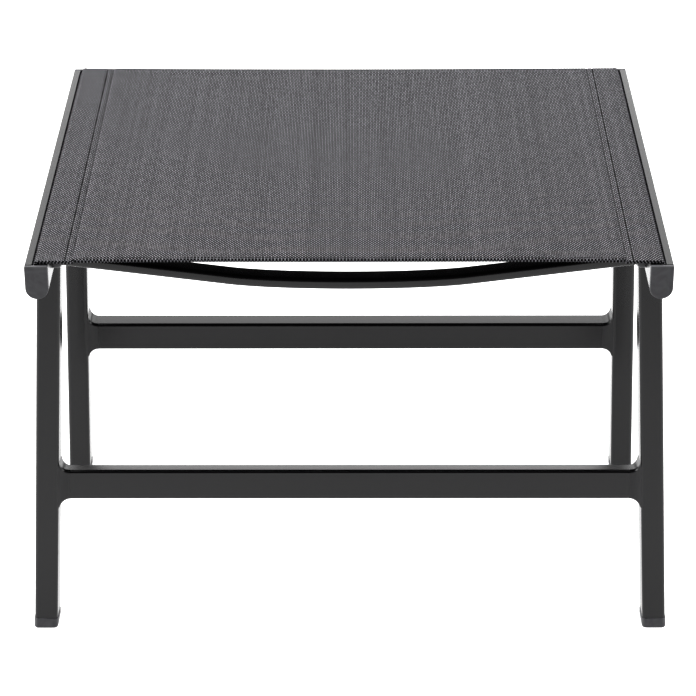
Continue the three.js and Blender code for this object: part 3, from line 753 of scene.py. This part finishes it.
# %% Lay out the cloth
def cloth_mesh():
    """The cloth's middle surface as a quad grid, with a UV map that holds millimetres."""
    shell = bmesh.new()
    flat_uv = shell.loops.layers.uv.new("millimetres")
    uv_of = {}

    def vertex(x, y, z, u, v):
        point = shell.verts.new(Vector((x, y, z)) * MM)
        uv_of[point] = (u, v)
        return point

    grid = []
    for (layer, x, z), u in zip(across, run):
        front, rear = (front_of(x), rear_of(x)) if layer == "top" else (SLING_FRONT, SLING_REAR)
        level = z + (sag(x) if layer != "fold" else 0)
        ys = [front * (1 - share) + rear * share + offset for share, offset in stations]
        column = [vertex(x, y, level + relief(x, y, layer), u, y) for y in ys]
        if layer == "top" and abs(x) <= HEM_HALF:
            before = [vertex(x, front - out, TOP - drop + sag(x), u, front - path)
                      for (out, drop), path in zip(hem_points, hem_lengths)]
            after = [vertex(x, rear + out, TOP - drop + sag(x), u, rear + path)
                     for (out, drop), path in zip(hem_points, hem_lengths)]
            column = before[::-1] + column + after
        else:
            column = [None] * len(hem_points) + column + [None] * len(hem_points)
        grid.append(column)
    for left, right in zip(grid, grid[1:]):
        for corners in zip(left, right, right[1:], left[1:]):
            if None not in corners:
                face = shell.faces.new(corners)
                face.smooth = True
                for loop in face.loops:
                    loop[flat_uv].uv = uv_of[loop.vert]
    mesh = bpy.data.meshes.new("sling_cloth")
    shell.to_mesh(mesh)
    shell.free()
    return mesh


mesh = cloth_mesh()
sling = new_piece("sling_cloth", mesh, sling_cloth)
thicken = sling.modifiers.new("thicken", "SOLIDIFY")
thicken.thickness = SHEET * MM
thicken.offset = 0.0
settle(sling)
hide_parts("sling")
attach(sling, "root")

# %% [markdown]
# ## Seams
# A lockstitch shows on top as a row of short thread arches, each 3 mm long and pulled into the cloth at
# both ends, and the same underneath. Hundreds of equal arches along a line are work for Geometry
# Nodes: the line is cut at every stitch, one arch is placed on each point and turned along the line.
# The thread is drawn 0.8 to 1 mm thick instead of 0.5 mm, because thinner it wouldn't show from here.

# %% Stitches
stitch_tree, sizes_in, result = node_tree("lockstitch", ["Pitch", "Length", "Rise", "Thread"])
spots = add(stitch_tree, "GeometryNodeCurveToPoints", {
    "Curve": sizes_in.outputs["Geometry"], "Length": sizes_in.outputs["Pitch"]}, mode="LENGTH")
along = add(stitch_tree, "FunctionNodeAlignRotationToVector", {"Vector": spots.outputs["Tangent"]}, axis="X")
half_length = add(stitch_tree, "ShaderNodeMath", {
    0: sizes_in.outputs["Length"], 1: 0.5}, operation="MULTIPLY")
far_half = add(stitch_tree, "ShaderNodeMath", {0: half_length.outputs[0], 1: -1.0}, operation="MULTIPLY")
sink = add(stitch_tree, "ShaderNodeMath", {0: sizes_in.outputs["Rise"], 1: -1.0}, operation="MULTIPLY")
entry = add(stitch_tree, "ShaderNodeCombineXYZ", {"X": far_half.outputs[0], "Z": sink.outputs[0]})
crown = add(stitch_tree, "ShaderNodeCombineXYZ", {"Z": sizes_in.outputs["Rise"]})
leave = add(stitch_tree, "ShaderNodeCombineXYZ", {"X": half_length.outputs[0], "Z": sink.outputs[0]})
arch = add(stitch_tree, "GeometryNodeCurveQuadraticBezier", {
    "Resolution": 6, "Start": entry.outputs[0], "Middle": crown.outputs[0], "End": leave.outputs[0]})
round_thread = add(stitch_tree, "GeometryNodeCurvePrimitiveCircle", {
    "Resolution": 6, "Radius": sizes_in.outputs["Thread"]})
one_stitch = add(stitch_tree, "GeometryNodeCurveToMesh", {
    "Curve": arch.outputs["Curve"], "Profile Curve": round_thread.outputs["Curve"], "Fill Caps": True})
row = add(stitch_tree, "GeometryNodeInstanceOnPoints", {
    "Points": spots.outputs["Points"], "Instance": one_stitch.outputs["Mesh"],
    "Rotation": along.outputs["Rotation"]})
close_tree(stitch_tree, sizes_in, result, row.outputs["Instances"])
print("stitch tree:", len(stitch_tree.nodes), "nodes")

# %% [markdown]
# The seam lines follow the cloth's own rule for its height. The inner pocket seam turns out over the
# mitred corner in front, as it does in the photograph.

# %% Seam lines
STITCH_RISE = 0.42
SEAM_FRONT, SEAM_REAR, SEAM_STEP = -216, 233, 4
OUTER_START, INNER_START = -230.5, -231.5
TURN_OUT = 5.5     # how far the inner seam turns outwards over the mitre
HEM_SEAM_END = 2   # how far a hem's seam stops short of the hem's end


def surface(x, y, under):
    """Height of the cloth's upper face, or of the pocket's lower face."""
    if under:
        return TOP - 2 * CLOTH + sag(x) + relief(x, y, "under")
    return TOP + sag(x) + relief(x, y, "top")


def seam_points(flat_points, under):
    """The seam's line on the cloth, in metres."""
    return [Vector((x, y, surface(x, y, under))) * MM for x, y in flat_points]


def pocket_line(side, distance):
    """Points of a seam along a pocket; the inner one turns diagonally to the front corner."""
    points = [(side * distance, y) for y in range(SEAM_FRONT, SEAM_REAR, SEAM_STEP)]
    if distance == SEAMS[1]:
        return [(side * (distance + TURN_OUT), INNER_START)] + points
    return [(side * distance, OUTER_START)] + points


def hem_line(rear):
    """Points of the seam along a hem, between the pockets."""
    xs = [(HEM_HALF - HEM_SEAM_END) * i / 40 for i in range(-40, 41)]
    if rear:
        return [(x, SLING_REAR - HEM_SEAM) for x in xs]
    return [(x, front_fold(x) + HEM_SEAM) for x in xs]


def sew(name, lines, pitch, length, radius):
    """Stitches along lines, above and below the cloth, as one piece."""
    meshes = []
    for under, rise in ((False, STITCH_RISE), (True, -STITCH_RISE)):
        path = path_object(name + "_path", [(seam_points(line, under), False) for line in lines])
        meshes.append(grow(path, stitch_tree, thread, {
            "Pitch": pitch * MM, "Length": length * MM, "Rise": rise * MM, "Thread": radius * MM}))
        bpy.data.objects.remove(path)
    shell = bmesh.new()
    for mesh in meshes:
        shell.from_mesh(mesh)
    bmesh.ops.recalc_face_normals(shell, faces=shell.faces)
    for face in shell.faces:
        face.smooth = True
    joined = bpy.data.meshes.new(name)
    shell.to_mesh(joined)
    shell.free()
    piece = new_piece(name, joined, thread)
    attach(piece, "root")
    print(name, "faces:", len(joined.polygons))
    return piece


seams = [
    sew("pocket_seams", [pocket_line(side, seam) for side in (-1, 1) for seam in SEAMS],
        pitch=3.6, length=3.1, radius=0.5),
    sew("hem_seams", [hem_line(False), hem_line(True)], pitch=3.2, length=2.7, radius=0.4),
]

# %% [markdown]
# ## Weld beads
# The legs are welded to the rails all round. A gas-shielded weld in aluminium looks like a row of
# overlapping coins. The bead's line is where the leg's rounded rectangle meets the D of the rail, which
# a short sum gives, and Geometry Nodes lays a ball on it every 1.7 mm, more than half sunk in the tubes.

# %% Weld line
LEG_WIDTH, LEG_DEPTH, LEG_CORNER, COPE_RISE = 22.4, 29.0, 3.6, 5.0
STANCES = ((-131.0, 40.5, 19.0), (118.0, 8.0, 13.4))   # top of a leg, foot beyond it, foot out to the side
RAIL_UNDER, D_CENTRE = 387.5, 398.0
WELD_INSET = 0.8    # the leg's face to the line, inwards
WELD_DROP = 0.2     # below where leg and rail meet
BEAD_PITCH, BEAD_RADIUS, SMALLEST_BEAD, LARGEST_BEAD = 1.7, 1.9, 0.88, 1.08
OUTLINE_STEP = 1.5


def leg_outline():
    """Points round the leg's section, a rectangle with round corners."""
    a, b = LEG_WIDTH / 2 - WELD_INSET - LEG_CORNER, LEG_DEPTH / 2 - LEG_CORNER
    points = []
    for quarter, (cx, cy) in enumerate([(a, b), (-a, b), (-a, -b), (a, -b)]):
        points += turn(cx, cy, LEG_CORNER, 90 * quarter, 90 * quarter + 90, 4)
    dense = []
    for p, q in zip(points, points[1:] + points[:1]):
        pieces = max(1, round(math.dist(p, q) / OUTLINE_STEP))
        dense += [(p[0] + (q[0] - p[0]) * i / pieces, p[1] + (q[1] - p[1]) * i / pieces)
                  for i in range(pieces)]
    return dense


def weld_line(side, top_y, away, out):
    """Closed line where a leg's outside meets the rail, in metres."""
    foot = Vector((side * (RAIL_MIDDLE + out), top_y + math.copysign(away, top_y), 0))
    top = Vector((side * RAIL_MIDDLE, top_y, RAIL_UNDER))
    axis = (top - foot).normalized()
    depth_way = Vector((0, axis.z, -axis.y)).normalized()
    width_way = depth_way.cross(axis)
    reach = (top - foot).length + COPE_RISE
    points = []
    for a, b in leg_outline():
        start = foot + width_way * a + depth_way * b
        x, z = start.x - side * RAIL_MIDDLE, start.z - D_CENTRE
        square = axis.x**2 + axis.z**2
        half_b = x * axis.x + z * axis.z
        inside = half_b**2 - square * (x * x + z * z - RAIL_HALF**2)
        t = min((-half_b - math.sqrt(inside)) / square, reach) if inside > 0 else reach
        points.append((start + axis * (t - WELD_DROP)) * MM)
    return points


lines = [weld_line(side, *stance) for side in (-1, 1) for stance in STANCES]
print("weld line round a leg:", len(lines[0]), "points, from", round(min(p.z for p in lines[0]), 4),
      "to", round(max(p.z for p in lines[0]), 4), "m")

# %% Beads
weld_tree, sizes_in, result = node_tree("weld_bead", ["Pitch", "Radius"])
spots = add(weld_tree, "GeometryNodeCurveToPoints", {
    "Curve": sizes_in.outputs["Geometry"], "Length": sizes_in.outputs["Pitch"]}, mode="LENGTH")
along = add(weld_tree, "FunctionNodeAlignRotationToVector", {"Vector": spots.outputs["Tangent"]}, axis="X")
ball = add(weld_tree, "GeometryNodeMeshIcoSphere", {"Radius": sizes_in.outputs["Radius"], "Subdivisions": 2})
uneven = add(weld_tree, "FunctionNodeRandomValue", {
    2: SMALLEST_BEAD, 3: LARGEST_BEAD, "Seed": 7}, data_type="FLOAT")
beads = add(weld_tree, "GeometryNodeInstanceOnPoints", {
    "Points": spots.outputs["Points"], "Instance": ball.outputs["Mesh"],
    "Rotation": along.outputs["Rotation"], "Scale": uneven.outputs[1]})
close_tree(weld_tree, sizes_in, result, beads.outputs["Instances"])

path = path_object("weld_path", [(line, True) for line in lines])
mesh = grow(path, weld_tree, coated_casting, {"Pitch": BEAD_PITCH * MM, "Radius": BEAD_RADIUS * MM})
bpy.data.objects.remove(path)
mesh.shade_smooth()
welds = new_piece("leg_welds", mesh, coated_casting)
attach(welds, "root")
print("leg_welds faces:", len(mesh.polygons))
